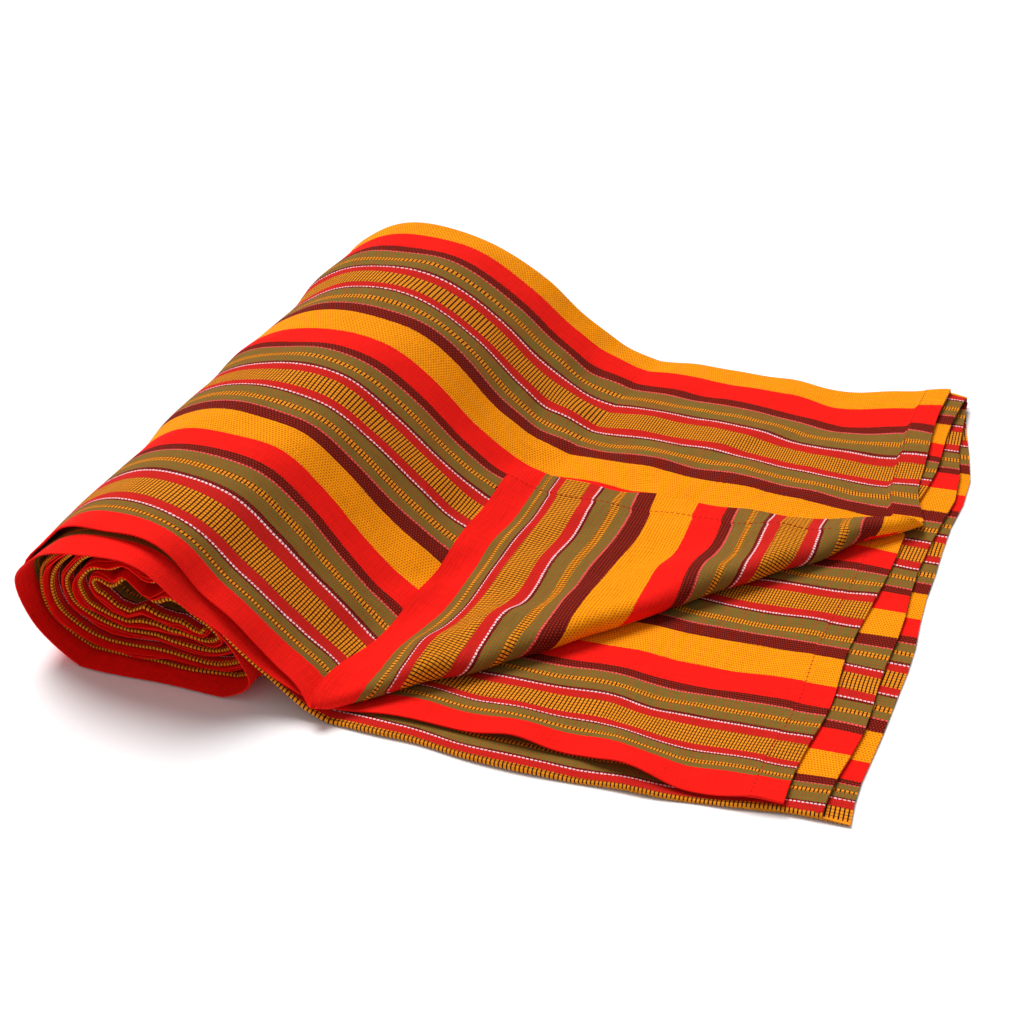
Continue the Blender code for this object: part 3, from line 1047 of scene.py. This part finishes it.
class ShawlMesh:
    """The thick, closed mesh of the cloth with its three texture layers.

    Args:
        cloth: The folded middle surface.
    """

    WEAVE_LAYER = "weave"
    STRIPE_LAYER = "stripes"
    CORNER_LAYER = "corner"
    SHARP_ANGLE = 50
    PLY_OFFSET = 0.5
    NO_SELVAGE = 1.0
    TURNED_PAST = 0.004

    # Parts of the cloth's length in which the stripes lie differently
    TAIL_END = Step(0.0, 0.22)
    FIRST_TURN = Step(0.26, 0.34)

    # Where the first group's narrow part ends, on the cloth and in the repeat
    SQUEEZED_END = 0.0265
    SQUEEZED_PLACE = 0.0197

    # How far the stripes lie from an even repeat, ply by ply
    DRIFT = Ripples(41, 0.09, 0.0013)
    HEM_SHIFT = 0.0010
    FLAT_HEM_SHIFT = -0.0045
    SECOND_STRETCH = 1.07
    SECOND_SHIFTS = (Step(0.0, 0.07, 0.0055), Step(0.12, 0.2, -0.002))
    TURNED_SHIFT = Step(0.012, 0.030, 0.005)
    TOP_SHIFT = Step(0.28, 0.37, -0.009)
    TAIL_SHIFTS = (Step(0.12, 0.25, 0.015), Step(0.28, 0.36, -0.008))
    TURN_SHIFT = Bump(0.085, 0.075, -0.008)
    FOLDED_SHIFTS = (Step(0.006, 0.035, 0.020), Step(0.05, 0.20, 0.011))
    FLAT_FOLD_SHIFT = -0.0048
    WOUND_FOLD_SHIFT = Step(0.34, 0.44, 0.0098)

    def __init__(self, cloth: FoldedCloth) -> None:
        self.cloth = cloth
        along = cloth.curve.along
        self.fine_rows = cloth.curve.climb_steps + sum(row.steps for row in ROLL_ROWS[:5])
        self.tail = 1 - self.TAIL_END(along)
        self.first_turn = self.FIRST_TURN(along)
        self.fold_shift = self.FLAT_FOLD_SHIFT + self.WOUND_FOLD_SHIFT(along)
        self.ids = self._number()
        self.faces: list[list[int]] = []
        self.corners: list[list[tuple[int, int, int]]] = []
        self._skins()
        self._rims()

    def _number(self) -> np.ndarray:
        """Number the grid's points, leaving out the ones that the coarse part doesn't use.

        Returns:
            Numbers in the order of stations and columns, or -1.
        """
        rows, cols = self.cloth.points.shape[:2]
        used = np.ones((rows, cols), dtype=bool)
        used[self.fine_rows + 1:, ~self.cloth.columns["coarse"]] = False
        ids = np.full((rows, cols), -1)
        ids[used] = np.arange(used.sum())
        return ids

    def _skins(self) -> None:
        """Make the faces of the outer and the inner skin."""
        rows, cols = self.ids.shape
        offset = int(self.ids.max()) + 1
        coarse = np.flatnonzero(self.cloth.columns["coarse"])
        for i in range(rows - 1):
            spans = ([(j, j + 1) for j in range(cols - 1)] if i < self.fine_rows
                     else list(zip(coarse[:-1], coarse[1:])))
            for j, k in spans:
                j, k = int(j), int(k)
                near = [(i, c) for c in (range(j, k + 1) if i == self.fine_rows else (j, k))]
                ring = near + [(i + 1, k), (i + 1, j)]
                self._add(ring, j, 0)
                self._add(ring[::-1], j, offset)

    def _add(self, ring: list[tuple[int, int]], column: int, offset: int) -> None:
        """Add one face.

        Args:
            ring: Grid places of the face's corners.
            column: Column whose ply the face belongs to.
            offset: Zero on the outer skin, or the number of its points.
        """
        self.faces.append([int(self.ids[place]) + offset for place in ring])
        self.corners.append([(place[0], place[1], column) for place in ring])

    def _rims(self) -> None:
        """Close the mesh along the hems and selvages."""
        rows, cols = self.ids.shape
        offset = int(self.ids.max()) + 1
        coarse = [int(c) for c in np.flatnonzero(self.cloth.columns["coarse"])]
        hem = [(0, j) for j in range(cols)]
        inner_hem = [(rows - 1, j) for j in coarse]
        edges = [(a, b, a[1]) for a, b in zip(hem[:-1], hem[1:])]
        edges += [(b, a, a[1]) for a, b in zip(inner_hem[:-1], inner_hem[1:])]
        for i in range(rows - 1):
            edges.append(((i + 1, 0), (i, 0), 0))
            edges.append(((i, cols - 1), (i + 1, cols - 1), cols - 2))
        for first, second, column in edges:
            a, b = int(self.ids[first]), int(self.ids[second])
            self.faces.append([b, a, a + offset, b + offset])
            self.corners.append([(*second, column), (*first, column), (*first, column),
                                 (*second, column)])

    def stripe_place(self, station: int, ply: int, distance: float, turned: bool) -> float:
        """Return the place in the stripes' repeat.

        Args:
            station: Station along the cloth.
            ply: Number of the ply.
            distance: Distance from the ply's front end.
            turned: Whether the place is on the turned-back corner.

        Returns:
            Place in metres from the start of a repeat.
        """
        if ply in (Ply.THIRD, Ply.BOTTOM):
            middle = CHECK_MIDDLE + self.fold_shift[station]
            drawn = distance + sum(shift(distance) for shift in self.FOLDED_SHIFTS)
            return middle - drawn if ply == Ply.THIRD else middle + drawn
        if distance < self.SQUEEZED_END:
            share = (distance - SELVAGE_WIDTH) / (self.SQUEEZED_END - SELVAGE_WIDTH)
            place = self.SQUEEZED_PLACE * share
        else:
            place = distance - self.SQUEEZED_END + self.SQUEEZED_PLACE
        if ply == Ply.SECOND:
            return place * self.SECOND_STRETCH + sum(shift(place) for shift in self.SECOND_SHIFTS)
        if turned:
            return place + self.TURNED_SHIFT(distance)
        place += self.TOP_SHIFT(distance)
        place += self.tail[station] * sum(shift(distance) for shift in self.TAIL_SHIFTS)
        return place + self.first_turn[station] * self.TURN_SHIFT(distance)

    def build(self) -> bpy.types.Object:
        """Make the mesh object.

        Returns:
            The object, linked to the scene.
        """
        used = self.ids >= 0
        points = self.cloth.points[used]
        offset = self.cloth.normals()[used] * (self.cloth.thickness[used] / 2)[:, None]
        verts = np.concatenate((points + offset, points - offset))
        verts[:, 2] = np.maximum(verts[:, 2], 0.0)
        mesh = bpy.data.meshes.new("striped_shawl")
        mesh.from_pydata(verts.tolist(), [], self.faces)
        mesh.update()
        self._texture_layers(mesh)
        mesh.shade_smooth()
        mesh.set_sharp_from_angle(angle=math.radians(self.SHARP_ANGLE))
        LOG.info("cloth: %d points, %d faces", len(verts), len(self.faces))
        return placed("striped_shawl", mesh)

    def _texture_layers(self, mesh: bpy.types.Mesh) -> None:
        """Write the three texture layers.

        Args:
            mesh: Mesh whose faces are in the order of the corners.
        """
        cloth = self.cloth
        along, cols = cloth.curve.along, cloth.columns
        drift = self.DRIFT(along[:, None], cols["distance"][None, :])
        layers = {self.WEAVE_LAYER: [], self.STRIPE_LAYER: [], self.CORNER_LAYER: []}
        for i, j, column in (place for ring in self.corners for place in ring):
            ply = int(cols["ply"][column])
            past = float(cloth.past_crease[i, j]) if ply == Ply.TOP else -1.0
            across = float(cols["distance" if j == column else "before"][j])
            far = across + float(drift[i, j])
            hem_shift = 0.0
            if along[i] < cloth.shape.hem_width and ply != Ply.BOTTOM:
                flat_top = ply == Ply.TOP and past <= 0
                hem_shift = self.FLAT_HEM_SHIFT if flat_top else self.HEM_SHIFT
            place = self.stripe_place(i, ply, far + hem_shift, past > self.TURNED_PAST)
            edge = far if ply in (Ply.TOP, Ply.SECOND) else self.NO_SELVAGE
            layers[self.WEAVE_LAYER] += (float(along[i]), across + ply * self.PLY_OFFSET)
            layers[self.STRIPE_LAYER] += (place, edge)
            layers[self.CORNER_LAYER] += (past, 0.0)
        for name, values in layers.items():
            layer = mesh.uv_layers.new(name=name)
            layer.uv.foreach_set("vector", values)


class HemStitches:
    """Lock stitches along the hems that show, set out by Geometry Nodes.

    Args:
        cloth: The folded middle surface.
    """

    SIZES = {"Spacing": 0.0032, "Length": 0.0022, "Width": 0.0005}
    FROM_HEM = 0.0195
    CLEARANCE = 0.0001

    def __init__(self, cloth: FoldedCloth) -> None:
        self.cloth = cloth
        self.station = int(np.searchsorted(cloth.curve.along, self.FROM_HEM))

    def _seams(self) -> list[np.ndarray]:
        """Return the seam lines on the faces of the cloth that show.

        Returns:
            One array of points for each seam.
        """
        cloth = self.cloth
        row = self.station
        points, normals = cloth.points[row], cloth.normals()[row]
        lift = cloth.thickness[row, 0] / 2 + self.CLEARANCE
        ply = cloth.columns["ply"]
        past = cloth.past_crease[row]
        bend = math.pi * cloth.corner.bend_radius
        sides = (((ply == Ply.TOP) & (past > bend), -1.0), ((ply == Ply.TOP) & (past < 0), 1.0),
                 (ply == Ply.SECOND, -1.0))
        return [points[mask] + side * lift * normals[mask] for mask, side in sides]

    def _line_mesh(self) -> bpy.types.Object:
        """Make an object of edges along the seams.

        Returns:
            The object.
        """
        verts, edges = [], []
        for seam in self._seams():
            start = len(verts)
            verts += seam.tolist()
            edges += [(start + k, start + k + 1) for k in range(len(seam) - 1)]
        mesh = bpy.data.meshes.new("hem_stitches")
        mesh.from_pydata(verts, edges, [])
        return placed("hem_stitches", mesh)

    def _tree(self, material: bpy.types.Material) -> bpy.types.NodeTree:
        """Make the node tree that lays a stitch at every step of a seam.

        Args:
            material: Thread material.

        Returns:
            The tree.
        """
        tree = bpy.data.node_groups.new("lock_stitches", "GeometryNodeTree")
        socket = tree.interface.new_socket
        for way in ("INPUT", "OUTPUT"):
            socket("Geometry", in_out=way, socket_type="NodeSocketGeometry")
        for name in self.SIZES:
            socket(name, in_out="INPUT", socket_type="NodeSocketFloat")
        sheet = NodeSheet(tree)
        given = sheet.add("NodeGroupInput").outputs
        curve = sheet.add("GeometryNodeMeshToCurve", {"Mesh": given["Geometry"]})
        spaced = sheet.add("GeometryNodeResampleCurve",
                           {"Curve": curve.outputs[0], "Length": given["Spacing"]},
                           mode="LENGTH")
        size = sheet.add("ShaderNodeCombineXYZ",
                         {0: given["Width"], 1: given["Width"], 2: given["Length"]})
        bead = sheet.add("GeometryNodeMeshIcoSphere", {"Radius": 0.5, "Subdivisions": 1})
        tangent = sheet.add("GeometryNodeInputTangent")
        turn = sheet.add("FunctionNodeAlignRotationToVector", {"Vector": tangent.outputs[0]},
                         axis="Z")
        laid = sheet.add("GeometryNodeInstanceOnPoints",
                         {"Points": spaced.outputs[0], "Instance": bead.outputs["Mesh"],
                          "Rotation": turn.outputs[0], "Scale": size.outputs[0]})
        real = sheet.add("GeometryNodeRealizeInstances", {0: laid.outputs[0]})
        dyed = sheet.add("GeometryNodeSetMaterial",
                         {"Geometry": real.outputs[0], "Material": material})
        sheet.add("NodeGroupOutput", {0: dyed.outputs[0]})
        return tree

    def build(self, material: bpy.types.Material) -> bpy.types.Object:
        """Lay the stitches and make them a plain mesh.

        Args:
            material: Thread material.

        Returns:
            The object.
        """
        lines = self._line_mesh()
        tree = self._tree(material)
        modifier = lines.modifiers.new("lock_stitches", "NODES")
        modifier.node_group = tree
        for item in tree.interface.items_tree:
            if item.in_out == "INPUT" and item.name in self.SIZES:
                modifier[item.identifier] = self.SIZES[item.name]
        graph = bpy.context.evaluated_depsgraph_get()
        mesh = bpy.data.meshes.new_from_object(lines.evaluated_get(graph))
        mesh.name = "hem_stitches"
        lines.modifiers.remove(modifier)
        lines.data = mesh
        LOG.info("stitches: %d faces", len(mesh.polygons))
        return lines


class NodeSheet:
    """A small helper that adds nodes to a shader tree.

    Args:
        tree: The tree to fill.
    """

    def __init__(self, tree: bpy.types.NodeTree) -> None:
        self.tree = tree

    def add(self, kind: str, links: dict | None = None, **settings) -> bpy.types.Node:
        """Add one node with its settings and links.

        Args:
            kind: Node type.
            links: Sockets or values by input name or number.
            **settings: Attributes of the node.

        Returns:
            The node.
        """
        node = self.tree.nodes.new(kind)
        for name, value in settings.items():
            setattr(node, name, value)
        for key, value in (links or {}).items():
            if isinstance(value, Socket):
                self.tree.links.new(value, node.inputs[key])
            else:
                node.inputs[key].default_value = value
        return node

    def math(self, operation: str, *values) -> Socket:
        """Add a math node.

        Args:
            operation: Its operation.
            *values: Sockets or numbers.

        Returns:
            The node's result.
        """
        node = self.add("ShaderNodeMath", dict(enumerate(values)), operation=operation)
        return node.outputs[0]

    def mix(self, share, first, second) -> Socket:
        """Mix two colours.

        Args:
            share: Share of the second one.
            first: Colour or socket.
            second: Colour or socket.

        Returns:
            The mixed colour.
        """
        node = self.add("ShaderNodeMix", {0: share, 6: first, 7: second}, data_type="RGBA")
        return node.outputs[2]


class WovenCotton:
    """The yarn-dyed cotton: stripes, small checks, dotted lines and the weave itself."""

    CHECK_PITCH = 0.0021
    YARN_PITCH = 0.0016
    TURN_START = 0.006
    WANDER = 0.0010
    FUZZ_SCALE = 800.0
    ROUGHNESS = 0.92
    SPECULAR = 0.08
    MARKED = (1.0, 1.0, 1.0, 1.0)
    UNMARKED = (0.0, 0.0, 0.0, 1.0)

    # Heights above which a wave is yarn and not gap, and the yarn left in the gaps of a row
    ROW_LEVEL = 0.27
    LINE_LEVEL = 0.22
    GAP_YARN = 0.45

    # Weft points: how strong they are, and how uneven their size is
    POINT = 0.72
    POINT_UNEVEN = 0.5
    POINT_LEVEL = 0.15

    # Uneven yarns: noise across and along a yarn, and their part of the shade and the relief
    SLUB_ACROSS = 1400.0
    SLUB_ALONG = 60.0
    WARP_SHADE = 0.50
    WEFT_SHADE = 0.40
    LEAST_SHADE = 0.58
    WEFT_RELIEF = 0.8
    RELIEF_STRENGTH = 0.30
    RELIEF_DEPTH = 0.0004

    def __init__(self) -> None:
        self.material = matt_material("woven_cotton", None, self.ROUGHNESS, self.SPECULAR)
        self.sheet = NodeSheet(self.material.node_tree)
        self.weave, self.along, self.across = self._layer(ShawlMesh.WEAVE_LAYER)
        self.fuzz = self._noise(self.weave, self.FUZZ_SCALE, 1.0)

        # Yarns wander a little, so that no stripe has a ruled edge
        self.loose = self.sheet.math("MULTIPLY_ADD", self.fuzz, self.WANDER, -self.WANDER / 2)
        warp = self._wave(self.across, self.YARN_PITCH)
        weft = self._wave(self._staggered(), self.YARN_PITCH)
        self.cross = self.sheet.math("MULTIPLY", warp, weft)
        self._finish(self._dyed())

    def _layer(self, name: str) -> tuple:
        """Read a texture layer.

        Args:
            name: Name of the layer.

        Returns:
            Sockets of the whole vector and of its first and second part.
        """
        vector = self.sheet.add("ShaderNodeUVMap", uv_map=name).outputs[0]
        parts = self.sheet.add("ShaderNodeSeparateXYZ", {0: vector}).outputs
        return vector, parts[0], parts[1]

    def _noise(self, vector: Socket, scale: float,
               detail: float) -> Socket:
        """Add a noise.

        Args:
            vector: Texture place.
            scale: Scale of the noise.
            detail: Its detail.

        Returns:
            A value around one half.
        """
        values = {"Vector": vector, "Scale": scale, "Detail": detail}
        return self.sheet.add("ShaderNodeTexNoise", values).outputs[0]

    def _ramp(self, place: Socket, values: list[tuple]) -> Socket:
        """Add a stepped ramp with one value for each stripe of the repeat.

        Args:
            place: Share of the repeat.
            values: One RGBA value for each stripe.

        Returns:
            The ramp's colour.
        """
        node = self.sheet.add("ShaderNodeValToRGB", {0: place})
        ramp = node.color_ramp
        ramp.interpolation = "CONSTANT"
        start = 0.0
        for index, (stripe, value) in enumerate(zip(REPEAT, values)):
            at = start / (REPEAT_WIDTH / MM)
            element = ramp.elements[0] if index == 0 else ramp.elements.new(at)
            element.position = at
            element.color = value
            start += stripe.width
        while len(ramp.elements) > len(REPEAT):
            ramp.elements.remove(ramp.elements[-1])
        return node.outputs[0]

    def _marks(self, place: Socket, marked: list[bool]) -> Socket:
        """Add a ramp that is white on some stripes and black on the others.

        Args:
            place: Share of the repeat.
            marked: Whether each stripe is white.

        Returns:
            The ramp's colour.
        """
        return self._ramp(place, [self.MARKED if mark else self.UNMARKED for mark in marked])

    def _wave(self, place: Socket, pitch: float) -> Socket:
        """Return a wave from zero to one.

        Args:
            place: Place in metres.
            pitch: Wavelength in metres.

        Returns:
            Height of the wave.
        """
        angle = self.sheet.math("MULTIPLY", place, 2 * math.pi / pitch)
        sine = self.sheet.math("SINE", angle)
        return self.sheet.math("MULTIPLY_ADD", sine, 0.5, 0.5)

    def _staggered(self) -> Socket:
        """Return the place along the cloth, half a pitch further on at each next warp yarn.

        Returns:
            Place in metres.
        """
        yarn = self.sheet.math("DIVIDE", self.across, self.YARN_PITCH)
        number = self.sheet.math("FLOOR", yarn)
        return self.sheet.math("MULTIPLY_ADD", number, self.YARN_PITCH / 2, self.along)

    def _slub(self, scale: tuple) -> Socket:
        """Return the uneven thickness of the yarns that run one way.

        Args:
            scale: Stretch of the noise along each axis.

        Returns:
            A value around one half.
        """
        mapping = self.sheet.add("ShaderNodeMapping", {"Vector": self.weave, "Scale": scale})
        return self._noise(mapping.outputs[0], 1.0, 2.0)

    def _repeat_share(self, place: Socket) -> Socket:
        """Return the share of the repeat, in the other order on the turned-back corner.

        Args:
            place: Place in the repeat in metres.

        Returns:
            A value from zero to one.
        """
        calc = self.sheet.math
        past = self._layer(ShawlMesh.CORNER_LAYER)[1]
        turned = calc("GREATER_THAN", past, self.TURN_START)
        other = calc("SUBTRACT", 2 * CHECK_MIDDLE, place)
        swap = calc("MULTIPLY", turned, calc("SUBTRACT", other, place))
        ordered = calc("ADD", place, swap)
        repeat = calc("DIVIDE", calc("ADD", ordered, self.loose), REPEAT_WIDTH)
        return calc("WRAP", repeat, 1.0, 0.0)

    def _dyed(self) -> Socket:
        """Build the colours of the stripes, checks, dotted lines, selvages and weft points.

        Returns:
            The colour of the yarns.
        """
        calc, mix = self.sheet.math, self.sheet.mix
        _, place, edge = self._layer(ShawlMesh.STRIPE_LAYER)
        share = self._repeat_share(place)
        main = self._ramp(share, [stripe.yarn.linear() for stripe in REPEAT])
        is_check = self._marks(share, [stripe.look is Look.CHECK for stripe in REPEAT])
        is_dotted = self._marks(share, [stripe.look is Look.DOTTED for stripe in REPEAT])
        is_red = self._marks(share, [stripe.yarn is RED for stripe in REPEAT])

        row = calc("GREATER_THAN", self._wave(self.along, self.CHECK_PITCH), self.ROW_LEVEL)
        line = calc("GREATER_THAN", self._wave(self.across, self.CHECK_PITCH),
                         self.LINE_LEVEL)
        square = calc("MULTIPLY", row, line)
        either = calc("MAXIMUM", calc("MULTIPLY", row, self.GAP_YARN), square)
        checked = mix(either, BLACK.linear(), ORANGE.linear())
        colour = mix(is_check, main, checked)
        gap = calc("MULTIPLY", calc("SUBTRACT", 1.0, row), is_dotted)
        colour = mix(gap, colour, CRIMSON.linear())
        at_edge = calc("LESS_THAN", calc("ADD", edge, self.loose), SELVAGE_WIDTH)
        colour = mix(at_edge, colour, RED.linear())

        # The weft shows as small rust-coloured points between the warp yarns
        uneven = calc("MULTIPLY_ADD", self.fuzz, self.POINT_UNEVEN, self.POINT_LEVEL)
        point = calc("GREATER_THAN", self.cross, uneven)
        point = calc("MULTIPLY", point, self.POINT)
        other_look = calc("MAXIMUM", calc("MAXIMUM", is_check, is_dotted), is_red)
        plain = calc("SUBTRACT", 1.0, calc("MAXIMUM", other_look, at_edge))
        return mix(calc("MULTIPLY", point, plain), colour, RUST.linear())

    def _finish(self, colour: Socket) -> None:
        """Shade the yarns, give them their relief and link both to the shader.

        Args:
            colour: Colour of the yarns.
        """
        sheet = self.sheet
        warp_slub = self._slub((self.SLUB_ALONG, self.SLUB_ACROSS, 1.0))
        weft_slub = self._slub((self.SLUB_ACROSS, self.SLUB_ALONG, 1.0))
        shade = sheet.math("MULTIPLY_ADD", warp_slub, self.WARP_SHADE, self.LEAST_SHADE)
        shade = sheet.math("MULTIPLY_ADD", weft_slub, self.WEFT_SHADE, shade)
        tinted = sheet.add("ShaderNodeHueSaturation", {"Value": shade, "Color": colour})
        relief = sheet.math("MULTIPLY", weft_slub, self.WEFT_RELIEF)
        bump = sheet.add("ShaderNodeBump", {"Height": sheet.math("ADD", self.cross, relief),
                                            "Strength": self.RELIEF_STRENGTH,
                                            "Distance": self.RELIEF_DEPTH})
        shader = sheet.tree.nodes["Principled BSDF"]
        sheet.tree.links.new(tinted.outputs[0], shader.inputs["Base Color"])
        sheet.tree.links.new(bump.outputs[0], shader.inputs["Normal"])


@dataclass(frozen=True)
class PhotoCamera:
    """The camera's place and aim.

    Args:
        place: Position in the blanket's frame.
        focal: Focal length in pixels.
        yaw: Turn to the right of +Y, in degrees.
        pitch: Angle below the horizon, in degrees.
        roll: Turn about the line of sight, in degrees.
        sensor: Width of the sensor in millimetres.
        pixels: Width of the image in pixels.
    """

    place: tuple[float, float, float] = (0.2837, -0.7317, 0.5257)
    focal: float = 1632.0
    yaw: float = -22.46
    pitch: float = 33.54
    roll: float = -3.34
    sensor: float = 36.0
    pixels: int = 1024

    def build(self) -> None:
        """Make the camera and set it as the scene's."""
        yaw, pitch, roll = (math.radians(a) for a in (self.yaw, self.pitch, self.roll))
        forward = Vector((math.sin(yaw) * math.cos(pitch), math.cos(yaw) * math.cos(pitch),
                          -math.sin(pitch)))
        level = Vector((math.cos(yaw), -math.sin(yaw), 0.0))
        upright = level.cross(forward)
        right = level * math.cos(roll) + upright * math.sin(roll)
        above = upright * math.cos(roll) - level * math.sin(roll)
        data = bpy.data.cameras.new("photo_camera")
        data.sensor_width = self.sensor
        data.lens = self.focal / self.pixels * self.sensor
        data.clip_start = 0.01
        camera = placed("photo_camera", data)
        turn = Matrix((right, above, -forward)).transposed().to_4x4()
        camera.matrix_world = Matrix.Translation(Vector(self.place)) @ turn
        bpy.context.scene.camera = camera


class Studio:
    """Floor, world and one wide, soft light from far away."""

    FLOOR = Yarn(0xFFFFFF)
    FLOOR_REACH = 4.0
    FLOOR_SPECULAR = 0.5
    WORLD_STRENGTH = 0.36
    LIGHT_TOWARDS = (-0.40, 0.30, 1.0)
    LIGHT_POWER = 2.95
    LIGHT_SPREAD = 30.0

    def build(self) -> None:
        """Make the floor, the world and the light."""
        bpy.context.scene.view_settings.view_transform = "Standard"
        floor = self._floor()
        world = bpy.data.worlds.new("soft_world")
        world.use_nodes = True
        background = world.node_tree.nodes["Background"]
        background.inputs["Color"].default_value = (1.0, 1.0, 1.0, 1.0)
        background.inputs["Strength"].default_value = self.WORLD_STRENGTH
        bpy.context.scene.world = world
        data = bpy.data.lights.new("soft_key", "SUN")
        data.energy = self.LIGHT_POWER
        data.angle = math.radians(self.LIGHT_SPREAD)
        light = placed("soft_key", data)
        light.rotation_euler = Vector(self.LIGHT_TOWARDS).to_track_quat("Z", "Y").to_euler()

    def _floor(self) -> bpy.types.Object:
        """Make the floor.

        Returns:
            Its object.
        """
        mesh = bpy.data.meshes.new("floor")
        size = self.FLOOR_REACH
        mesh.from_pydata([(-size, -size, 0.0), (size, -size, 0.0), (size, size, 0.0),
                          (-size, size, 0.0)], [], [(0, 1, 2, 3)])
        mesh.materials.append(matt_material("pale_floor", self.FLOOR, 1.0, self.FLOOR_SPECULAR))
        return placed("floor", mesh)


@dataclass
class BlanketScene:
    """The whole scene.

    Args:
        shape: Sizes of the band.
        corner: The turned-back corner.
    """

    shape: BandShape = field(default_factory=BandShape)
    corner: CornerShape = field(default_factory=CornerShape)

    def build(self) -> None:
        """Build the blanket and its studio."""
        cloth = FoldedCloth(self.shape, self.corner)
        shawl = ShawlMesh(cloth).build()
        cotton = WovenCotton()
        shawl.data.materials.append(cotton.material)
        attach(shawl, "root")
        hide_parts("blanket")
        thread = matt_material("sewing_thread", CRIMSON, 0.8, 0.1)
        stitches = HemStitches(cloth).build(thread)
        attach(stitches, "root")
        Studio().build()
        PhotoCamera().build()


def main() -> None:
    """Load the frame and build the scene."""
    logging.basicConfig(level=logging.INFO)
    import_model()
    BlanketScene().build()


if __name__ == "__main__":
    main()
